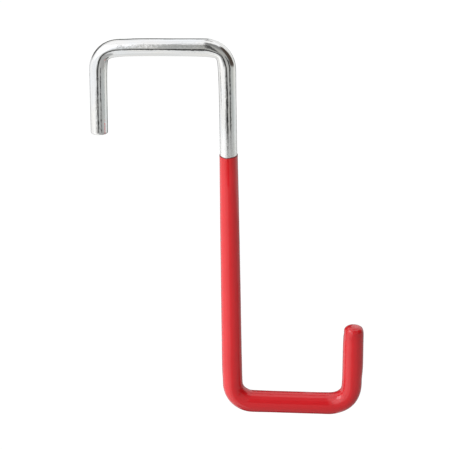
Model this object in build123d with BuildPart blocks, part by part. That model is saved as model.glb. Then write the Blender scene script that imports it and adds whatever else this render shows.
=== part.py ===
"""Over-the-beam storage hook: one bent steel rod with a vinyl skin over its lower half.

Millimetres. The hook hangs in the XZ plane with +Z up. The origin is the point of the top
bar's underside, midway between the upper legs, that rests on the beam. +X points from the
beam's side of the hook to the side where the load hangs, and Y runs along the beam.
"""

import os
from math import cos, pi, radians, sin, sqrt

from build123d import *

# Rod: quarter-inch round bar, bent in one plane to an S with four square corners.
rod_diameter = 6.35
opening = 41.0  # clear width of the upper U and of the lower U, between the bare rod's faces
drop = 142.0  # from the top bar's centreline to the bottom bar's
leg_reach = 29.4  # from the face of a bar to the end of its short leg
short_leg_splay = 1.6  # degrees by which the upper short leg opens outwards
end_chamfer = 0.7

# Bends, in order from the upper short leg: the radius of the outside of each. The inside is
# squeezed almost square, as a superellipse with this exponent (2 would be round).
outside_radii = [11.8, 11.2, 11.1, 13.0]
inside_exponent = 5
side_bulge = 0.03  # share by which the squashed rod spreads sideways in mid-bend
stations_per_bend = 7

# Vinyl skin, dipped tip down: it drains as it sets, so it is thinnest at its upper edge.
dip_depth = 36.9  # from the beam seat down to the skin's upper edge
edge_skin = 0.2
heel_skin = 0.78  # where the long leg runs into its bend
bar_skin = 1.1  # along the bottom bar, the lowest stretch
toe_skin = 0.85  # up the lower short leg
tip_skin = 1.2  # over the rod's hidden end
tip_rounding = 2.4
lip_rounding = 0.1
stations_per_taper = 6

rod_radius = rod_diameter / 2
pitch = opening + rod_diameter
leg_length = leg_reach + rod_radius
top_z = rod_radius
bottom_z = top_z - drop

splay = radians(short_leg_splay)
upper_corner = Vector(-pitch / 2, 0, top_z)
rod_start = upper_corner - Vector(sin(splay), 0, cos(splay)) * leg_length
shoulder_corner = Vector(pitch / 2, 0, top_z)
heel_corner = Vector(pitch / 2, 0, bottom_z)
toe_corner = Vector(pitch * 3 / 2, 0, bottom_z)
rod_end = toe_corner + Vector(0, 0, leg_length)

with BuildLine() as centreline:
    FilletPolyline(
        rod_start,
        upper_corner,
        shoulder_corner,
        heel_corner,
        toe_corner,
        rod_end,
        radius=[radius - rod_radius for radius in outside_radii],
    )

# The nine stretches in order: short leg, bend, top bar, bend, long leg, bend, bottom bar,
# bend, short leg.
stretches = centreline.wire().order_edges()
straights = stretches[0::2]
bends = stretches[1::2]


def bend_section(number, share, skin=0.0):
    """Plane and half sizes of one section of a bend: an arc outside, nearly square inside."""
    bend = bends[number]
    turned = share * pi / 2
    power = inside_exponent
    corner_reach = (cos(turned) ** power + sin(turned) ** power) ** (-1 / power)
    pinch = (outside_radii[number] - rod_diameter) * (corner_reach - 1)
    outward = (bend @ share - bend.arc_center).normalized()
    plane = Plane(bend @ share + outward * (pinch / 2), x_dir=(0, 1, 0), z_dir=bend % share)
    half_side = rod_radius * (1 + side_bulge * sin(2 * turned) ** 2)
    return plane, half_side + skin, rod_radius - pinch / 2 + skin


def drained_skin(share):
    """Skin thickness down the long leg: its square grows evenly with depth."""
    return sqrt(edge_skin**2 + (heel_skin**2 - edge_skin**2) * share)


def shares(count):
    """Even steps from 0 to 1."""
    return [index / (count - 1) for index in range(count)]


# Steel rod: it runs on inside the skin to just short of the tip.
with BuildPart() as steel_rod:
    for straight in straights:
        with BuildSketch(Plane(straight @ 0, x_dir=(0, 1, 0), z_dir=straight % 0)):
            Circle(rod_radius)
        extrude(amount=straight.length)
    for number in range(len(bends)):
        for share in shares(stations_per_bend):
            plane, half_side, half_depth = bend_section(number, share)
            with BuildSketch(plane):
                Ellipse(half_side, half_depth)
        loft()
    chamfer(steel_rod.faces().filter_by(GeomType.PLANE).edges(), length=end_chamfer)
steel_rod.part.label = "steel_rod"

# Vinyl skin: the long leg's thickening film, two skinned bends, the bottom bar, and the
# short leg with its rounded blind tip. The rod is then taken out of it.
long_leg, bottom_bar, short_leg = straights[2:]
heel_top = long_leg @ 1
with BuildPart() as vinyl_coat:
    for share in shares(stations_per_taper):
        height = -dip_depth + (heel_top.Z + dip_depth) * share
        with BuildSketch(Plane((heel_top.X, 0, height), x_dir=(0, 1, 0), z_dir=(0, 0, -1))):
            Circle(rod_radius + drained_skin(share))
    loft()
    fillet(vinyl_coat.faces().sort_by(Axis.Z)[-1].edges(), radius=lip_rounding)
    for number, first_skin, last_skin in [(2, heel_skin, bar_skin), (3, bar_skin, toe_skin)]:
        for share in shares(stations_per_bend):
            skin = first_skin + (last_skin - first_skin) * share
            plane, half_side, half_depth = bend_section(number, share, skin)
            with BuildSketch(plane):
                Ellipse(half_side, half_depth)
        loft()
    with BuildSketch(Plane(bottom_bar @ 0, x_dir=(0, 1, 0), z_dir=bottom_bar % 0)):
        Circle(rod_radius + bar_skin)
    extrude(amount=bottom_bar.length)
    with BuildSketch(Plane(short_leg @ 0, x_dir=(0, 1, 0), z_dir=short_leg % 0)):
        Circle(rod_radius + toe_skin)
    extrude(amount=short_leg.length + tip_skin)
    tip_face = vinyl_coat.faces().filter_by(GeomType.PLANE).sort_by(Axis.X)[-1]
    fillet(tip_face.edges(), radius=tip_rounding)
    add(steel_rod.part, mode=Mode.SUBTRACT)
vinyl_coat.part.label = "vinyl_coat"

os.makedirs("parts", exist_ok=True)
export_step(steel_rod.part, "parts/steel_rod.step")
export_step(vinyl_coat.part, "parts/vinyl_coat.step")
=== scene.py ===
"""Looks for the over-beam storage hook: its bent, zinc-plated rod and its dipped vinyl skin.

Metres, in the CAD model's frame: +Z up as the hook hangs, the origin on the beam's top edge
under the top bar, +X towards the side where the load hangs. Both CAD nodes are replaced by
swept meshes that follow the same centreline.
"""

import math

import bpy
import numpy as np
from mathutils import Matrix, Vector


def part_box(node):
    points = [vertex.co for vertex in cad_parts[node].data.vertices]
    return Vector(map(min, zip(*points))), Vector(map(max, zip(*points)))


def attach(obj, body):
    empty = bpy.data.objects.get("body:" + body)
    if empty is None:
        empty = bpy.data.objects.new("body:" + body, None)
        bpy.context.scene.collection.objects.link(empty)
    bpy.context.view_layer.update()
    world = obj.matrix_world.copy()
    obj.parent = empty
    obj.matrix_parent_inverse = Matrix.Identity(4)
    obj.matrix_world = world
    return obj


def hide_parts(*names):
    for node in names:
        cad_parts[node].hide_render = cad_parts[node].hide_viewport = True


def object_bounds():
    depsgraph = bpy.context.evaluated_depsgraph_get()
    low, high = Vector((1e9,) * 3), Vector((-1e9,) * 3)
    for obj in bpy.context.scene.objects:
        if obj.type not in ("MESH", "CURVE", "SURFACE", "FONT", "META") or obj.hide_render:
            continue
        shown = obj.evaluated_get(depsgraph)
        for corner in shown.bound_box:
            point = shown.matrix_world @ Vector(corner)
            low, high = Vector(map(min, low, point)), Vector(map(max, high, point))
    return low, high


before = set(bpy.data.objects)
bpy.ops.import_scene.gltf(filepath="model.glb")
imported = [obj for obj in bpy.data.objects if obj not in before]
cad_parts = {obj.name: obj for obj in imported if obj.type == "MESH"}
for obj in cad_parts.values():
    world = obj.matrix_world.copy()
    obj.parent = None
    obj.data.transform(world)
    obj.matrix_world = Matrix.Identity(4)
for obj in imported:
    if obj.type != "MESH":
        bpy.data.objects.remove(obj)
cad_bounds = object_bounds()

MM = 0.001
rod_low, rod_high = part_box("steel_rod")
_, coat_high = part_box("vinyl_coat")

# The rod's centreline, from the CAD model's boxes and the lengths that those don't give.
ROD_RADIUS = rod_high.z / 2
PITCH = (rod_high.x - ROD_RADIUS) / 1.5
TOP = ROD_RADIUS
BOTTOM = rod_low.z + ROD_RADIUS
DIP_LINE = coat_high.z
SHORT_LEG = 29.4 * MM + ROD_RADIUS
SPLAY = math.radians(1.6)
OUTSIDE_RADII = (11.8 * MM, 11.2 * MM, 11.1 * MM, 13.0 * MM)

# How cold bending shaped each corner: the metal upset on the inside stands proud of the
# straight faces beside the corner, more on one side of it than on the other. Past the first
# corner the stretched outside is drawn in. The squashed rod spreads sideways, most in
# mid-bend and a little beside it.
CORNER_SHARPNESS = (13, 18, 6, 6)
UPSET_BEFORE = (0.8 * MM, 0.75 * MM, 0.3 * MM, 0.6 * MM)
UPSET_AFTER = (1.2 * MM, 0.7 * MM, 0.4 * MM, 0.3 * MM)
UPSET_LENGTH = 4.0 * MM
THINNED_AFTER = (0.26 * MM, 0.0, 0.0, 0.0)
SIDE_BULGE = 0.035
BULGE_BESIDE = 0.25
ALMOST_ZERO = 1e-6

SEGMENTS = 80
RING_STEP = 0.5 * MM


def heading_vector(heading):
    """Unit vectors in the XZ plane, as (x, z) pairs."""
    return np.stack([np.cos(heading), np.sin(heading)], axis=-1)


def left_of(heading):
    return heading_vector(heading + math.pi / 2)


class Centreline:
    """Straights joined by arcs in the XZ plane, measured by distance from the cut end."""

    def __init__(self, corners, radii):
        points = [np.array(corner) for corner in corners]
        runs = [after - before for before, after in zip(points, points[1:])]
        headings = [math.atan2(run[1], run[0]) for run in runs]
        self.pieces = []
        self.length = 0.0
        place = points[0]
        for number, heading in enumerate(headings):
            last = number == len(radii)
            turn = 0.0 if last else headings[number + 1] - heading
            reach = 0.0 if last else radii[number] * math.tan(abs(turn) / 2)
            along = heading_vector(heading)
            straight = float(np.dot(points[number + 1] - place, along)) - reach
            self.add(place, heading, straight, 0.0)
            place = place + along * straight
            if not last:
                sense = math.copysign(1.0, turn)
                self.add(place, heading, radii[number] * abs(turn), sense / radii[number])
                place = points[number + 1] + heading_vector(headings[number + 1]) * reach

    def add(self, place, heading, length, curvature):
        self.pieces.append((self.length, length, place, heading, curvature))
        self.length += length

    def bends(self):
        return [piece for piece in self.pieces if piece[4]]

    def at(self, distance):
        """Places and headings at an array of distances; past the ends it runs on straight."""
        places = np.zeros(distance.shape + (2,))
        headings = np.zeros(distance.shape)
        for number, (start, length, place, heading, curvature) in enumerate(self.pieces):
            low = -np.inf if number == 0 else start
            high = np.inf if number == len(self.pieces) - 1 else start + length
            here = (distance >= low) & (distance < high)
            run = distance[here] - start
            if curvature:
                turned = heading + run * curvature
                places[here] = place + (left_of(heading) - left_of(turned)) / curvature
                headings[here] = turned
            else:
                places[here] = place + run[:, None] * heading_vector(heading)
                headings[here] = heading
        return places, headings


foot = (-PITCH / 2 - math.sin(SPLAY) * SHORT_LEG, TOP - math.cos(SPLAY) * SHORT_LEG)
centreline = Centreline(
    [
        foot,
        (-PITCH / 2, TOP),
        (PITCH / 2, TOP),
        (PITCH / 2, BOTTOM),
        (1.5 * PITCH, BOTTOM),
        (1.5 * PITCH, BOTTOM + SHORT_LEG),
    ],
    [radius - ROD_RADIUS for radius in OUTSIDE_RADII],
)


def squeeze(distance):
    """The rod's section at each distance: half depth in the bend's plane, half width across
    it, and how far its middle has shifted to the centreline's left."""
    depth = np.full(distance.shape, ROD_RADIUS)
    width = np.full(distance.shape, ROD_RADIUS)
    shift = np.zeros(distance.shape)
    for number, (start, length, _, _, curvature) in enumerate(centreline.bends()):
        inside = OUTSIDE_RADII[number] - 2 * ROD_RADIUS
        sharpness = CORNER_SHARPNESS[number]
        before, after = UPSET_BEFORE[number], UPSET_AFTER[number]
        quarter = np.clip((distance - start) / length, 0, 1) * math.pi / 2
        ahead = np.maximum(start - distance, 0)
        past = np.maximum(distance - start - length, 0)
        cos, sin = np.cos(quarter), np.sin(quarter)
        to_corner = inside * np.maximum(0, 1 - sin / np.maximum(cos, ALMOST_ZERO)) + ahead
        from_corner = inside * np.maximum(0, 1 - cos / np.maximum(sin, ALMOST_ZERO)) + past
        near_first = inside - before * np.exp(-to_corner / UPSET_LENGTH)
        near_last = inside - after * np.exp(-from_corner / UPSET_LENGTH)
        reach = (cos / near_first) ** sharpness + (sin / near_last) ** sharpness
        pinch = reach ** (-1 / sharpness) - inside
        from_end = (distance - start - length) / UPSET_LENGTH
        thinned = THINNED_AFTER[number] * np.exp(-(from_end**2))
        depth -= (pinch + thinned) / 2
        shift -= math.copysign(1, curvature) * (pinch - thinned) / 2
        beside = BULGE_BESIDE * np.exp(-(ahead + past) / UPSET_LENGTH)
        spread = np.sin(2 * quarter) ** 2 + beside
        width *= 1 + SIDE_BULGE * spread
    return depth, width, shift


def place_rings(distance, angle, film):
    """World points for arrays of distance, angle round the rod, and film over the rod."""
    places, headings = centreline.at(distance)
    depth, width, shift = squeeze(distance)
    left = left_of(headings)
    leftward = shift + (depth + film) * np.cos(angle)
    points = np.zeros(distance.shape + (3,))
    points[..., 0] = places[..., 0] + left[..., 0] * leftward
    points[..., 2] = places[..., 1] + left[..., 1] * leftward
    points[..., 1] = (width + film) * np.sin(angle)
    return points


def down_facing(distance, angle):
    """How squarely each point of the rod faces the ground: 1 underneath, -1 on top."""
    _, headings = centreline.at(distance)
    return -left_of(headings)[..., 1] * np.cos(angle)


class Waves:
    """A smooth, seeded random relief over the unbent rod, from -1 to 1 or so."""

    def __init__(self, seed, count, longest, shortest, around):
        draw = np.random.default_rng(seed)
        self.pitch = draw.uniform(shortest, longest, count)
        self.round = draw.integers(0, around + 1, count)
        self.phase = draw.uniform(0, 2 * math.pi, (2, count))
        self.share = 1 / math.sqrt(count)

    def at(self, distance, angle):
        total = np.zeros(np.broadcast(distance, angle).shape)
        for pitch, round_, first, second in zip(self.pitch, self.round, *self.phase):
            along = np.sin(2 * math.pi * distance / pitch + first)
            total += along * np.cos(round_ * angle + second)
        return total * self.share * math.sqrt(2)


def loft_mesh(name, rings, unbent):
    """A closed mesh of quads through rings of points, with a fan at each end's middle."""
    count, segments = rings.shape[:2]
    points = list(rings.reshape(-1, 3))
    soft = list(unbent.reshape(-1, 3))
    faces = []
    for ring in range(count - 1):
        here, there = ring * segments, (ring + 1) * segments
        for segment in range(segments):
            beside = (segment + 1) % segments
            faces.append((here + segment, there + segment, there + beside, here + beside))
    first_middle, last_middle = len(points), len(points) + 1
    points += [rings[0].mean(axis=0), rings[-1].mean(axis=0)]
    soft += [unbent[0].mean(axis=0), unbent[-1].mean(axis=0)]
    last = (count - 1) * segments
    faces += [(first_middle, s, (s + 1) % segments) for s in range(segments)]
    faces += [(last_middle, last + (s + 1) % segments, last + s) for s in range(segments)]
    mesh = bpy.data.meshes.new(name)
    mesh.from_pydata([tuple(point) for point in points], [], faces)
    layer = mesh.attributes.new("unbent", "FLOAT_VECTOR", "POINT")
    layer.data.foreach_set("vector", np.array(soft, np.float32).ravel())
    mesh.shade_smooth()
    mesh.update()
    piece = bpy.data.objects.new(name, mesh)
    bpy.context.scene.collection.objects.link(piece)
    return piece


def unbent_points(distance, angle, radius):
    """The same points on the rod before it was bent, in millimetres, for the materials."""
    flat = np.stack([radius * np.cos(angle), radius * np.sin(angle), distance], axis=-1)
    return flat / MM


angles = np.linspace(0, 2 * math.pi, SEGMENTS, endpoint=False)[None, :]

# ---------------------------------------------------------------- the steel rod
END_ROUNDING = 0.75 * MM
END_ROUNDING_STEPS = 6
END_FACE_SHARES = (0.08, 0.3, 0.55)
DRAWN_RELIEF = 0.006 * MM
DENT_RELIEF = 0.012 * MM
drawn_lines = Waves(seed=3, count=14, longest=260 * MM, shortest=90 * MM, around=22)
handling_dents = Waves(seed=8, count=10, longest=30 * MM, shortest=9 * MM, around=3)


def rod_rings():
    """Distances of the rod's rings, and each one's share of the full radius: flat cut ends
    with their edges rounded over."""
    inner = [(0.0, share) for share in END_FACE_SHARES]
    rim = []
    for step in range(END_ROUNDING_STEPS + 1):
        turn = step / END_ROUNDING_STEPS * math.pi / 2
        drawn_in = END_ROUNDING * (1 - math.sin(turn)) / ROD_RADIUS
        rim.append((END_ROUNDING * (1 - math.cos(turn)), 1 - drawn_in))
    start = inner + rim
    body_length = centreline.length - 2 * END_ROUNDING
    steps = round(body_length / RING_STEP)
    body = [(END_ROUNDING + body_length * step / steps, 1.0) for step in range(1, steps)]
    end = [(centreline.length - distance, share) for distance, share in reversed(start)]
    return start + body + end


def make_rod():
    table = np.array(rod_rings())
    distance = np.repeat(table[:, :1], SEGMENTS, axis=1)
    share = table[:, 1:2]
    angle = np.repeat(angles, len(table), axis=0)
    relief = DRAWN_RELIEF * drawn_lines.at(distance, angle)
    relief += DENT_RELIEF * handling_dents.at(distance, angle)
    places, headings = centreline.at(distance)
    rings = place_rings(distance, angle, relief)
    middle = np.zeros_like(rings)
    middle[..., 0] = places[..., 0]
    middle[..., 2] = places[..., 1]
    rings = middle + (rings - middle) * share[..., None]
    return loft_mesh("plated_rod", rings, unbent_points(distance, angle, ROD_RADIUS * share))


rod = make_rod()
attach(rod, "root")
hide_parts("steel_rod")

# ---------------------------------------------------------------- the vinyl skin
# Film over the rod: at the dip line, at the heel, along the bottom bar and up the toe. It
# changes over these lengths before the heel's bend, past it, and past the toe's bend.
EDGE_FILM = 0.2 * MM
HEEL_FILM = 0.78 * MM
BAR_FILM = 1.02 * MM
TOE_FILM = 0.82 * MM
BEFORE_HEEL = 4 * MM
PAST_HEEL = 3 * MM
PAST_TOE = 6 * MM
# The film that hangs under the bar, and how narrowly it gathers there.
SAG_FILM = 0.12 * MM
SAG_NARROWNESS = 1.5
# The lip: a rounded edge with a bead behind it, tilted, and wandering. The tilt fades out
# between two distances from the edge.
BEAD = 0.05 * MM
BEAD_LENGTH = 0.7 * MM
LIP_LENGTH = 0.32 * MM
LIP_TILT = 1.0 * MM
LIP_WANDER = 0.08 * MM
LIP_FADE = (1.5 * MM, 9 * MM)
# Rings close to the lip, which get further apart.
LIP_RINGS = (0, 0.02, 0.05, 0.1, 0.16, 0.23, 0.32, 0.45, 0.65, 0.95, 1.35)
# The tip: a domed end that is drawn in, leans a little and is lumpy.
TIP_FILM = 0.97 * MM
DOME_LENGTH = 2.8 * MM
DOME_FLATNESS = 3.3
DOME_FULLNESS = 2.6
DOME_RINGS = 26
TIP_DRAWN_IN = 0.2 * MM
TIP_DRAWN_LENGTH = 2.5 * MM
TIP_LEAN = 0.12 * MM
TIP_LUMPS = 0.05 * MM
# Webs that surface tension leaves in the heel's and the toe's inner corner.
WEB_DEPTHS = (1.02 * MM, 0.7 * MM)
WEB_LENGTH = 3.2 * MM
# Film gained or drained off outside the heel's and the toe's bend: at its start, middle, end.
RUN_OFF = ((-0.25 * MM, 0.0, 0.08 * MM), (0.0, 0.26 * MM, -0.4 * MM))
RUN_OFF_LENGTH = 4.2 * MM
# Slow waves in the film, a share of them from the lip on and the rest once it has grown.
ORANGE_PEEL = 0.012 * MM
PEEL_AT_LIP = 0.3
PEEL_GROWTH = (1 * MM, 25 * MM)
# The skin's inside: its gap to a perfectly smooth rod, its rings, where they stop under the
# lip, and the rings across the rod's hidden end. The rod's relief is larger than that gap, so
# the two surfaces cross a little where the skin is bonded on.
CLEARANCE = 0.004 * MM
INSIDE_RINGS = 260
INSIDE_STOPS = (2 * MM, 0.6 * MM)
INSIDE_END_SHARES = (0.1, 0.6)
lip_waves = Waves(seed=21, count=5, longest=1.0, shortest=0.9, around=5)
film_waves = Waves(seed=5, count=16, longest=34 * MM, shortest=7 * MM, around=3)
tip_waves = Waves(seed=12, count=9, longest=6 * MM, shortest=2.5 * MM, around=6)

corners = centreline.bends()
dip_distance = corners[1][0] + corners[1][1] + (TOP - (OUTSIDE_RADII[1] - ROD_RADIUS) - DIP_LINE)
heel_start, heel_end = corners[2][0], corners[2][0] + corners[2][1]
toe_start, toe_end = corners[3][0], corners[3][0] + corners[3][1]
tip_distance = centreline.length + TIP_FILM
dome_start = tip_distance - DOME_LENGTH


def smooth(value, low, high):
    share = np.clip((value - low) / (high - low), 0, 1)
    return share * share * (3 - 2 * share)


def film_at(distance, angle):
    """The drained film: thin at the dip line, thickest along the bottom bar, and hanging a
    little under it, with webs in the inner corners, and drawn in and lumpy near the tip."""
    down = np.clip((distance - dip_distance) / (heel_start - dip_distance), 0, 1)
    film = np.sqrt(EDGE_FILM**2 + (HEEL_FILM**2 - EDGE_FILM**2) * down)
    past_heel = smooth(distance, heel_start - BEFORE_HEEL, heel_end + PAST_HEEL)
    past_toe = smooth(distance, toe_start, toe_end + PAST_TOE)
    film = film + (BAR_FILM - HEEL_FILM) * past_heel
    film = film + (TOE_FILM - BAR_FILM) * past_toe
    under = np.clip(down_facing(distance, angle), 0, 1) ** SAG_NARROWNESS
    on_bar = smooth(distance, heel_start, heel_end) * (1 - smooth(distance, toe_start, toe_end))
    film = film + SAG_FILM * under * on_bar
    for (start, length, _, _, curvature), web, run_off in zip(corners[2:], WEB_DEPTHS, RUN_OFF):
        facing_in = np.cos(angle) * math.copysign(1, curvature)
        inward = np.clip(facing_in, 0, 1) ** 2
        outward = np.clip(-facing_in, 0, 1)
        middle = start + length / 2
        film = film + web * inward * np.exp(-(((distance - middle) / WEB_LENGTH) ** 2))
        for place, amount in zip((start, middle, start + length), run_off):
            film = film + amount * outward * np.exp(-(((distance - place) / RUN_OFF_LENGTH) ** 2))
    near_tip = np.exp(-np.maximum(dome_start - distance, 0) / TIP_DRAWN_LENGTH)
    lumps = TIP_LUMPS * tip_waves.at(distance, angle)
    film = film + near_tip * (lumps - TIP_DRAWN_IN - TIP_LEAN * np.cos(angle))
    grown = smooth(distance, dip_distance + PEEL_GROWTH[0], dip_distance + PEEL_GROWTH[1])
    peel_share = PEEL_AT_LIP + (1 - PEEL_AT_LIP) * grown
    return film + ORANGE_PEEL * film_waves.at(distance, angle) * peel_share


def lip_offset(angle):
    """How far past the dip line the skin's edge lies, all round: lower in front, wandering."""
    front = -np.sin(angle)
    return LIP_TILT / 2 * front + LIP_WANDER * lip_waves.at(np.zeros_like(angle), angle)


def outside_rings():
    """The skin's outside, from its rounded lip down to where the dome starts."""
    near_lip = [value * MM for value in LIP_RINGS]
    body_length = dome_start - dip_distance - near_lip[-1]
    steps = round(body_length / RING_STEP)
    body = [near_lip[-1] + body_length * step / steps for step in range(1, steps + 1)]
    run = np.repeat(np.array(near_lip + body)[:, None], SEGMENTS, axis=1)
    angle = np.repeat(angles, len(run), axis=0)
    fade = 1 - smooth(run, *LIP_FADE)
    distance = dip_distance + run + lip_offset(angle) * fade
    lip_share = np.clip(run / LIP_LENGTH, 0, 1)
    lip = np.sqrt(1 - (1 - lip_share) ** 2)
    bead = BEAD * np.exp(-np.maximum(run - LIP_LENGTH, 0) / BEAD_LENGTH)
    film = (film_at(distance, angle) + bead) * lip
    soft = unbent_points(dip_distance + run, angle, ROD_RADIUS + film)
    return place_rings(distance, angle, film), soft


def dome_rings():
    """The domed tip: the last section shrinks along a superellipse to a nearly flat top."""
    turn = np.linspace(0, math.pi / 2, DOME_RINGS + 1)[1:-1, None]
    rise = np.sin(turn) ** (2 / DOME_FULLNESS)
    share = np.cos(turn) ** (2 / DOME_FLATNESS)
    angle = np.repeat(angles, len(turn), axis=0)
    distance = np.repeat(dome_start + DOME_LENGTH * rise, SEGMENTS, axis=1)
    film = (ROD_RADIUS + film_at(distance, angle)) * share - ROD_RADIUS
    return place_rings(distance, angle, film), unbent_points(distance, angle, ROD_RADIUS + film)


def inside_rings():
    """The skin's inside, from the rod's hidden end back up to the lip."""
    inner_end = centreline.length + CLEARANCE
    full_stop, lip_stop = (dip_distance + stop for stop in INSIDE_STOPS)
    back = np.linspace(inner_end, full_stop, INSIDE_RINGS)[:, None]
    back = np.concatenate([[[inner_end]] * len(INSIDE_END_SHARES), back, [[lip_stop]]])
    share = np.ones_like(back)
    share[: len(INSIDE_END_SHARES), 0] = INSIDE_END_SHARES
    angle = np.repeat(angles, len(back), axis=0)
    fade = 1 - smooth(back - dip_distance, *LIP_FADE)
    distance = back + lip_offset(angle) * fade
    film = np.repeat((ROD_RADIUS + CLEARANCE) * share - ROD_RADIUS, SEGMENTS, axis=1)
    return place_rings(distance, angle, film), unbent_points(distance, angle, ROD_RADIUS + film)


def make_coat():
    """The skin as one closed cup: the inside up to the lip, then the outside and the dome."""
    stretches = [inside_rings(), outside_rings(), dome_rings()]
    rings, soft = (np.concatenate(arrays) for arrays in zip(*stretches))
    return loft_mesh("dipped_skin", rings, soft)


coat = make_coat()
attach(coat, "root")
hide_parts("vinyl_coat")


# ---------------------------------------------------------------- materials
class Nodes:
    """Short helpers for building a node tree."""

    def __init__(self, tree):
        self.tree = tree
        tree.nodes.clear()

    def add(self, kind, **settings):
        node = self.tree.nodes.new(kind)
        for key, value in settings.items():
            setattr(node, key, value)
        return node

    def link(self, source, target):
        self.tree.links.new(source, target)

    def feed(self, socket, value):
        """Links a socket or sets a number or colour."""
        if isinstance(value, bpy.types.NodeSocket):
            self.link(value, socket)
        else:
            socket.default_value = value

    def math(self, operation, first, second=0.0, third=0.0):
        node = self.add("ShaderNodeMath", operation=operation)
        for socket, value in zip(node.inputs, (first, second, third)):
            self.feed(socket, value)
        return node.outputs[0]

    def ramp(self, value, low, high, start=0.0, end=1.0):
        node = self.add("ShaderNodeMapRange", interpolation_type="SMOOTHSTEP")
        for socket, amount in zip(node.inputs, (value, low, high, start, end)):
            self.feed(socket, amount)
        return node.outputs[0]

    def mix(self, share, first, second):
        node = self.add("ShaderNodeMix", data_type="RGBA")
        self.feed(node.inputs[0], share)
        self.feed(node.inputs[6], first)
        self.feed(node.inputs[7], second)
        return node.outputs[2]

    def along(self, unbent):
        """Distance along the rod in millimetres."""
        parts = self.add("ShaderNodeSeparateXYZ")
        self.link(unbent, parts.inputs[0])
        return parts.outputs[2]

    def radius(self, unbent):
        """Distance from the rod's axis in millimetres."""
        parts = self.add("ShaderNodeVectorMath", operation="MULTIPLY")
        self.link(unbent, parts.inputs[0])
        parts.inputs[1].default_value = (1, 1, 0)
        length = self.add("ShaderNodeVectorMath", operation="LENGTH")
        self.link(parts.outputs[0], length.inputs[0])
        return length.outputs["Value"]

    def noise(self, vector, stretch, scale, detail=2.0, roughness=0.5):
        scaled = self.add("ShaderNodeVectorMath", operation="MULTIPLY")
        self.feed(scaled.inputs[0], vector)
        scaled.inputs[1].default_value = stretch
        node = self.add("ShaderNodeTexNoise")
        self.link(scaled.outputs[0], node.inputs["Vector"])
        node.inputs["Scale"].default_value = scale
        node.inputs["Detail"].default_value = detail
        node.inputs["Roughness"].default_value = roughness
        return node.outputs[0]

    def bump(self, height, strength, distance):
        node = self.add("ShaderNodeBump")
        node.inputs["Strength"].default_value = strength
        node.inputs["Distance"].default_value = distance
        self.link(height, node.inputs["Height"])
        return node.outputs[0]


def new_material(name):
    material = bpy.data.materials.new(name)
    material.use_nodes = True
    nodes = Nodes(material.node_tree)
    shader = nodes.add("ShaderNodeBsdfPrincipled")
    output = nodes.add("ShaderNodeOutputMaterial")
    nodes.link(shader.outputs[0], output.inputs[0])
    unbent = nodes.add("ShaderNodeAttribute", attribute_name="unbent").outputs["Vector"]
    return material, nodes, shader, unbent


# Where the materials change, in millimetres: along the rod from its cut end, above the skin,
# below the skin's lip, before the tip, and of film over the rod.
DIP_PLACE = dip_distance / MM
TIP_PLACE = tip_distance / MM
SHORT_LEG_GRAIN = (14, 30)
LONG_LEG_GRAIN = (76, 90)
PALER_ABOVE_SKIN = (14, 2)
# The lip band is painted shade: a dark line that stands in for the shadow in the gap under the lip's
# edge.
LIP_SHADE_BAND = (0.15, 0.5)
UPPER_STRETCH = (1.0, 10.0)
# Painted shade: the red is deeper over this stretch before the tip, for light that falls off towards
# the bottom and right.
SHADED_BEFORE_TIP = (11, 1)
DRIPS_BEFORE_TIP = (8, 4)
# Painted shade: the red is deeper over film this thick, on the bottom bar and its bends.
SHADED_FILM_RANGE = (0.6, 1.05)

ZINC_COOL = (0.83, 0.85, 0.86, 1)
ZINC_WARM = (0.87, 0.86, 0.83, 1)
ZINC_STREAK = (0.68, 0.69, 0.69, 1)
ZINC_SPECK = (0.5, 0.5, 0.5, 1)
ZINC_PALER = (0.97, 0.97, 0.95, 1)
ZINC_BUMP = 0.02 * MM

VINYL_THIN = ((0.72, 0.003, 0.008, 1), (0.78, 0.008, 0.015, 1))
# Painted shade: a deeper red on the thick film and towards the tip, for light that falls off towards
# the bottom and right.
VINYL_SHADED = ((0.59, 0.001, 0.005, 1), (0.64, 0.003, 0.009, 1))
VINYL_UPPER = (0.69, 0.001, 0.004, 1)
# Painted shade: the dark line along the lip, for the shadow under its edge.
VINYL_LIP_SHADE = (0.16, 0.001, 0.002, 1)
VINYL_BUMP = 0.03 * MM
DRIP_HEIGHT = 5.0


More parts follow.
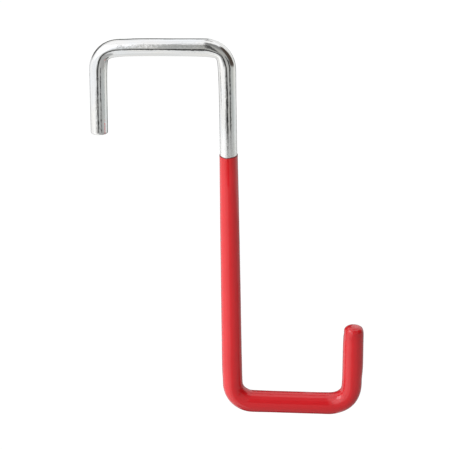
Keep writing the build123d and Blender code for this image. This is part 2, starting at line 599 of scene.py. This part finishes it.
def zinc_material():
    """Bright zinc plate over drawn wire: lines along the rod, a grain of small pits that
    breaks up the reflections, most on the legs, and faint cool and warm clouding. It is
    paler and duller next to the skin."""
    material, nodes, shader, unbent = new_material("bright_zinc")
    lines = nodes.noise(unbent, (1, 1, 0.012), 3.2, 4, 0.6)
    fine_lines = nodes.noise(unbent, (1, 1, 0.03), 9, 3, 0.6)
    grain = nodes.noise(unbent, (1, 1, 0.45), 1.35, 2, 0.5)
    clouds = nodes.noise(unbent, (1, 1, 0.25), 0.28, 3)
    specks = nodes.noise(unbent, (1, 1, 0.6), 3.0, 2)
    speck_mask = nodes.ramp(specks, 0.66, 0.76)
    along = nodes.along(unbent)
    far_above, close_above = PALER_ABOVE_SKIN
    paler = nodes.ramp(along, DIP_PLACE - far_above, DIP_PLACE - close_above)
    paler = nodes.math("MULTIPLY", paler, nodes.ramp(fine_lines, 0.3, 0.7, 1.0, 0.4))
    tint = nodes.mix(nodes.ramp(clouds, 0.35, 0.65), ZINC_COOL, ZINC_WARM)
    streaked = nodes.mix(nodes.ramp(lines, 0.4, 0.75), tint, ZINC_STREAK)
    colour = nodes.mix(nodes.math("MULTIPLY", speck_mask, 0.35), streaked, ZINC_SPECK)
    colour = nodes.mix(paler, colour, ZINC_PALER)
    nodes.link(colour, shader.inputs["Base Color"])
    base = nodes.ramp(lines, 0.3, 0.7, 0.07, 0.12)
    dull = nodes.math("MULTIPLY_ADD", speck_mask, 0.2, base)
    dull = nodes.math("MULTIPLY_ADD", paler, 0.2, dull)
    nodes.link(dull, shader.inputs["Roughness"])
    nodes.link(nodes.math("MULTIPLY_ADD", paler, -0.2, 1.0), shader.inputs["Metallic"])
    height = nodes.math("MULTIPLY_ADD", fine_lines, 0.15, nodes.math("MULTIPLY", lines, 0.4))
    on_short_leg = nodes.ramp(along, *SHORT_LEG_GRAIN, 1, 0)
    on_legs = nodes.math("ADD", on_short_leg, nodes.ramp(along, *LONG_LEG_GRAIN))
    rubbed = nodes.math("MULTIPLY_ADD", on_legs, 1.2, 1.2)
    rubbed = nodes.math("MULTIPLY", rubbed, nodes.math("MULTIPLY_ADD", paler, -0.6, 1.0))
    height = nodes.math("MULTIPLY_ADD", grain, rubbed, height)
    height = nodes.math("MULTIPLY_ADD", speck_mask, -0.15, height)
    nodes.link(nodes.bump(height, 1.0, ZINC_BUMP), shader.inputs["Normal"])
    return material


def vinyl_material():
    """Dipped plastisol: a clear gloss over a softer one on red, with slow waves. Painted shade makes
    it deeper red where the film is thick and towards the tip, which has drips, for light that falls
    off towards the bottom and right, and a painted shade line darkens the lip."""
    material, nodes, shader, unbent = new_material("red_plastisol")
    clouds = nodes.noise(unbent, (1, 1, 0.3), 0.35, 3)
    peel = nodes.noise(unbent, (1, 1, 0.5), 0.9, 2)
    fine = nodes.noise(unbent, (1, 1, 1), 5.0, 3)
    film = nodes.math("SUBTRACT", nodes.radius(unbent), ROD_RADIUS / MM)
    along = nodes.along(unbent)
    # Painted shade: deeper red towards the tip and on the thick film, for light that falls off towards
    # the bottom and right.
    far, close = SHADED_BEFORE_TIP
    near_tip = nodes.ramp(along, TIP_PLACE - far, TIP_PLACE - close)
    painted_shade = nodes.math("MAXIMUM", nodes.ramp(film, *SHADED_FILM_RANGE), near_tip)
    colour = nodes.mix(painted_shade, nodes.mix(clouds, *VINYL_THIN), nodes.mix(clouds, *VINYL_SHADED))
    from_lip = nodes.math("SUBTRACT", along, DIP_PLACE)
    colour = nodes.mix(nodes.ramp(from_lip, *UPPER_STRETCH), VINYL_UPPER, colour)
    # Painted shade: a dark line along the lip, for the shadow under its edge.
    colour = nodes.mix(nodes.ramp(from_lip, *LIP_SHADE_BAND), VINYL_LIP_SHADE, colour)
    nodes.link(colour, shader.inputs["Base Color"])
    nodes.link(nodes.ramp(fine, 0.3, 0.7, 0.4, 0.48), shader.inputs["Roughness"])
    shader.inputs["IOR"].default_value = 1.5
    shader.inputs["Specular IOR Level"].default_value = 0.2
    shader.inputs["Coat Weight"].default_value = 0.9
    shader.inputs["Coat Roughness"].default_value = 0.05
    shader.inputs["Coat IOR"].default_value = 1.58
    height = nodes.math("MULTIPLY_ADD", fine, 0.12, peel)
    far, close = DRIPS_BEFORE_TIP
    where_drips = nodes.ramp(along, TIP_PLACE - far, TIP_PLACE - close)
    drips = nodes.math("MULTIPLY", nodes.noise(unbent, (1, 1, 1), 1.5, 1), where_drips)
    height = nodes.math("MULTIPLY_ADD", drips, DRIP_HEIGHT, height)
    relief = nodes.bump(height, 0.3, VINYL_BUMP)
    nodes.link(relief, shader.inputs["Normal"])
    nodes.link(relief, shader.inputs["Coat Normal"])
    return material


rod.data.materials.append(zinc_material())
coat.data.materials.append(vinyl_material())

# ---------------------------------------------------------------- floor
FLOOR_DROP = 0.45
FLOOR_SIZE = 30.0
FLOOR_GLOW = (0.99, 0.99, 0.99, 1)
FLOOR_GREY = (0.05, 0.05, 0.05, 1)
bpy.ops.mesh.primitive_plane_add(size=FLOOR_SIZE, location=(0, 0, rod_low.z - FLOOR_DROP))
floor = bpy.context.object
floor.name = "floor"
floor_material = bpy.data.materials.new("pale_floor")
floor_material.use_nodes = True
floor_nodes = Nodes(floor_material.node_tree)
glow = floor_nodes.add("ShaderNodeEmission")
glow.inputs[0].default_value = FLOOR_GLOW
matte = floor_nodes.add("ShaderNodeBsdfDiffuse")
matte.inputs[0].default_value = FLOOR_GREY
both = floor_nodes.add("ShaderNodeAddShader")
floor_output = floor_nodes.add("ShaderNodeOutputMaterial")
floor_nodes.link(glow.outputs[0], both.inputs[0])
floor_nodes.link(matte.outputs[0], both.inputs[1])
floor_nodes.link(both.outputs[0], floor_output.inputs[0])
floor.data.materials.append(floor_material)
floor.visible_glossy = False
floor.visible_diffuse = False

# ---------------------------------------------------------------- studio light
# The light that surrounds the hook: soft panels on pale walls, where a later row covers the
# earlier ones. The hook is lit by them and mirrors them, while the camera sees plain white in
# their place, and the floor is seen by the camera alone. Each panel has a made-up name, the
# way its place is measured, its range sideways and upwards in degrees, the softness of its
# edges in degrees, its colour, and how far its top and bottom rise per degree sideways.
# "compass" is azimuth and elevation: azimuth 0 looks from the hook towards -Y, 90 towards +X.
# "hinge" is the angle away from the YZ plane, and the angle in that plane: 0 towards -Y, 90
# up, 180 towards +Y.
WALL_LIGHT = (0.9, 0.9, 0.91, 1)
PANELS = [
    ("left_wall", "compass", (-112, -20), (-95, 95), 10, (1.08, 1.08, 1.09), 0),
    ("softbox", "compass", (-85, -14), (8, 55), 8, (1.55, 1.55, 1.6), 0),
    ("table", "compass", (-200, 200), (-95, -36), 6, (0.88, 0.88, 0.88), 0),
    ("right_side", "compass", (52, 116), (-95, 60), 4, (0.51, 0.53, 0.52), 0),
    ("right_back", "compass", (96, 200), (-95, 60), 18, (0.86, 0.87, 0.86), 0),
    ("left_far", "compass", (-155, -108), (4, 70), 8, (0.4, 0.4, 0.4), 0),
    ("right_low", "compass", (112, 200), (-50, -18), 3, (0.6, 0.61, 0.61), 0),
    ("ceiling", "hinge", (-95, 95), (53, 128), 3, (1.1, 1.1, 1.12), 0),
    ("back_high", "compass", (125, 200), (20, 48), 5, (0.7, 0.71, 0.71), 0),
    ("back_high_left", "compass", (-200, -125), (20, 48), 5, (0.7, 0.71, 0.71), 0),
    ("back_gap", "compass", (150, 200), (-30, 25), 4, (0.08, 0.09, 0.09), 0),
    ("back_gap_left", "compass", (-200, -144), (-30, 25), 4, (0.05, 0.05, 0.05), 0),
    ("lamp", "compass", (-84, -46), (27, 52), 2, (3.9, 3.9, 4.0), 0),
    ("ceiling_gap", "hinge", (-4.0, 12), (109, 119), 1.2, (0.12, 0.12, 0.12), 0),
    ("back_card", "hinge", (-40, 40), (132, 176), 0.5, (1.0, 1.0, 1.0), 0),
    ("back_dark", "hinge", (-14, -1.5), (143, 182), 0.5, (0.08, 0.09, 0.09), 0),
    ("back_left_dark", "hinge", (-60, -14), (140, 174), 1.5, (0.1, 0.1, 0.1), 0),
    ("room", "hinge", (-10.2, 50), (-8, 51.5), 1.0, (0.46, 0.46, 0.45), 0),
    ("low_room", "compass", (-18, 52), (-40, -4), 2, (0.42, 0.42, 0.41), 0),
    ("deep_room", "hinge", (-5.4, 4), (-3, 44), 0.8, (0.08, 0.08, 0.08), 0),
    ("room_top", "hinge", (-5.0, 50), (44, 79), 1.8, (0.28, 0.28, 0.28), 0),
    ("tripod", "compass", (-18, 8), (-60, -6), 2, (0.035, 0.035, 0.035), 0.9),
    ("gap", "compass", (10, 30), (-60, -5), 2, (0.55, 0.55, 0.54), 0),
    ("stand", "compass", (33, 50), (-60, 10), 2, (0.02, 0.02, 0.02), 0),
    ("stand_foot", "compass", (42.5, 54), (-60, -13.6), 1.2, (0.5, 0.5, 0.49), 0),
    ("door", "compass", (56, 112), (-4, 57), 4, (0.08, 0.065, 0.055), 0),
]
world = bpy.data.worlds.new("studio")
bpy.context.scene.world = world
world.use_nodes = True
sky = Nodes(world.node_tree)
direction = sky.add("ShaderNodeTexCoord").outputs["Generated"]
split = sky.add("ShaderNodeSeparateXYZ")
sky.link(direction, split.inputs[0])
across, behind, up = split.outputs
azimuth = sky.math("DEGREES", sky.math("ARCTAN2", across, sky.math("MULTIPLY", behind, -1.0)))
elevation = sky.math("DEGREES", sky.math("ARCSINE", up))
lateral = sky.math("DEGREES", sky.math("ARCSINE", across))
pitch = sky.math("DEGREES", sky.math("ARCTAN2", up, sky.math("MULTIPLY", behind, -1.0)))
MEASURES = {"compass": (azimuth, elevation), "hinge": (lateral, pitch)}


def inside_range(value, low, high, soft):
    rising = sky.ramp(value, low - soft, low + soft)
    return sky.math("SUBTRACT", rising, sky.ramp(value, high - soft, high + soft))


light = WALL_LIGHT
for panel_name, measure, (left_edge, right_edge), (bottom_edge, top_edge), soft, shade, rise in PANELS:
    sideways, upwards = MEASURES[measure]
    level = sky.math("MULTIPLY_ADD", sideways, -rise, upwards)
    within_sides = inside_range(sideways, left_edge, right_edge, soft)
    within_ends = inside_range(level, bottom_edge, top_edge, soft)
    light = sky.mix(sky.math("MULTIPLY", within_sides, within_ends), light, (*shade, 1))
    light.node.label = panel_name
backdrop = sky.mix(sky.add("ShaderNodeLightPath").outputs["Is Camera Ray"], light, (1, 1, 1, 1))
background = sky.add("ShaderNodeBackground")
sky.link(backdrop, background.inputs[0])
world_output = sky.add("ShaderNodeOutputWorld")
sky.link(background.outputs[0], world_output.inputs[0])

# Cards round the hook, which the camera doesn't see: a corner, the two edges that leave it,
# and brightness.
CARDS = {
    "far_left_card": ((-0.8, -0.2435, -0.9), (0.6, 0, 0), (0, 0, 0.75), 1.22),
    "front_card_left": ((-0.2, -0.2435, -0.9), (0.18, 0, 0), (0, 0, 0.774), 0.95),
    "front_card_right": ((-0.02, -0.2435, -0.9), (0.37, 0, 0), (0, 0, 0.778), 0.44),
    "grey_card": ((-0.215, -0.36, -0.4), (0.115, 0, 0), (0, 0, 0.284), 0.52),
    "side_card": ((0.35, -0.2435, -0.9), (0, 0.2735, 0), (0, 0, 0.744), 0.4),
    "rear_card": ((0.35, 0.03, -0.9), (-0.214, 0.28, 0), (0, 0, 0.744), 0.4),
    # The two dark cards under the bottom bar are painted shadow: they stand in for the hook's own
    # shadow on a floor below it.
    "shadow_card_front": ((0.005, -0.03, -0.19), (0.125, 0, 0), (0, 0.03, 0), 0.42),
    "shadow_card_back": ((0.012, 0, -0.19), (0.058, 0, 0), (0, 0.06, 0), 0.08),
}


def make_card(name, corner, first_edge, second_edge, brightness):
    """A flat glowing card."""
    corner, first_edge, second_edge = Vector(corner), Vector(first_edge), Vector(second_edge)
    far = corner + first_edge + second_edge
    points = [corner, corner + first_edge, far, corner + second_edge]
    mesh = bpy.data.meshes.new(name)
    mesh.from_pydata(points, [], [(0, 1, 2, 3)])
    material = bpy.data.materials.new(name)
    material.use_nodes = True
    nodes = Nodes(material.node_tree)
    glow = nodes.add("ShaderNodeEmission")
    glow.inputs[0].default_value = (brightness, brightness, brightness, 1)
    nodes.link(glow.outputs[0], nodes.add("ShaderNodeOutputMaterial").inputs[0])
    mesh.materials.append(material)
    card = bpy.data.objects.new(name, mesh)
    bpy.context.scene.collection.objects.link(card)
    card.visible_camera = False
    card.visible_shadow = False


for card_name, card in CARDS.items():
    make_card(card_name, *card)


def towards(azimuth, elevation):
    """Unit vector away from the hook: azimuth 0 is towards -Y, a right angle towards +X."""
    level = math.cos(elevation)
    return Vector((math.sin(azimuth) * level, -math.cos(azimuth) * level, math.sin(elevation)))


# A large soft key light from the front left, low, without a reflection of its own.
KEY_AZIMUTH = math.radians(-20)
KEY_ELEVATION = math.radians(14)
KEY_DISTANCE = 0.6
KEY_SIZE = 0.4
KEY_WATTS = 0.8
key_data = bpy.data.lights.new("key", "AREA")
key_data.shape = "DISK"
key_data.size = KEY_SIZE
key_data.energy = KEY_WATTS
key = bpy.data.objects.new("key", key_data)
bpy.context.scene.collection.objects.link(key)
key_aim = (rod_low + rod_high) / 2
to_key = towards(KEY_AZIMUTH, KEY_ELEVATION)
key.location = key_aim + to_key * KEY_DISTANCE
key.rotation_euler = to_key.to_track_quat("Z", "Y").to_euler()
key.visible_glossy = False

# ---------------------------------------------------------------- camera
CAMERA_AZIMUTH = math.radians(6.0)
CAMERA_ELEVATION = math.radians(19.6)
CAMERA_ROLL = math.radians(-1.0)
CAMERA_DISTANCE = 473.3 * MM
LENS_MM = 100
SENSOR_MM = 36
AIM_OFFSET = Vector((-1.8, 0, 3.6)) * MM
low_corner, high_corner = Vector(cad_bounds[0]), Vector(cad_bounds[1])
aim = (low_corner + high_corner) / 2 + AIM_OFFSET
back = towards(CAMERA_AZIMUTH, CAMERA_ELEVATION)
level_right = Vector((math.cos(CAMERA_AZIMUTH), math.sin(CAMERA_AZIMUTH), 0))
level_up = back.cross(level_right)
right = level_right * math.cos(CAMERA_ROLL) + level_up * math.sin(CAMERA_ROLL)
upward = back.cross(right)
camera_data = bpy.data.cameras.new("camera")
camera_data.lens = LENS_MM
camera_data.sensor_width = SENSOR_MM
camera_data.clip_start = 0.01
camera = bpy.data.objects.new("camera", camera_data)
bpy.context.scene.collection.objects.link(camera)
rotation = Matrix((right, upward, back)).transposed().to_4x4()
camera.matrix_world = Matrix.Translation(aim + back * CAMERA_DISTANCE) @ rotation
bpy.context.scene.camera = camera
bpy.context.scene.view_settings.view_transform = "Standard"
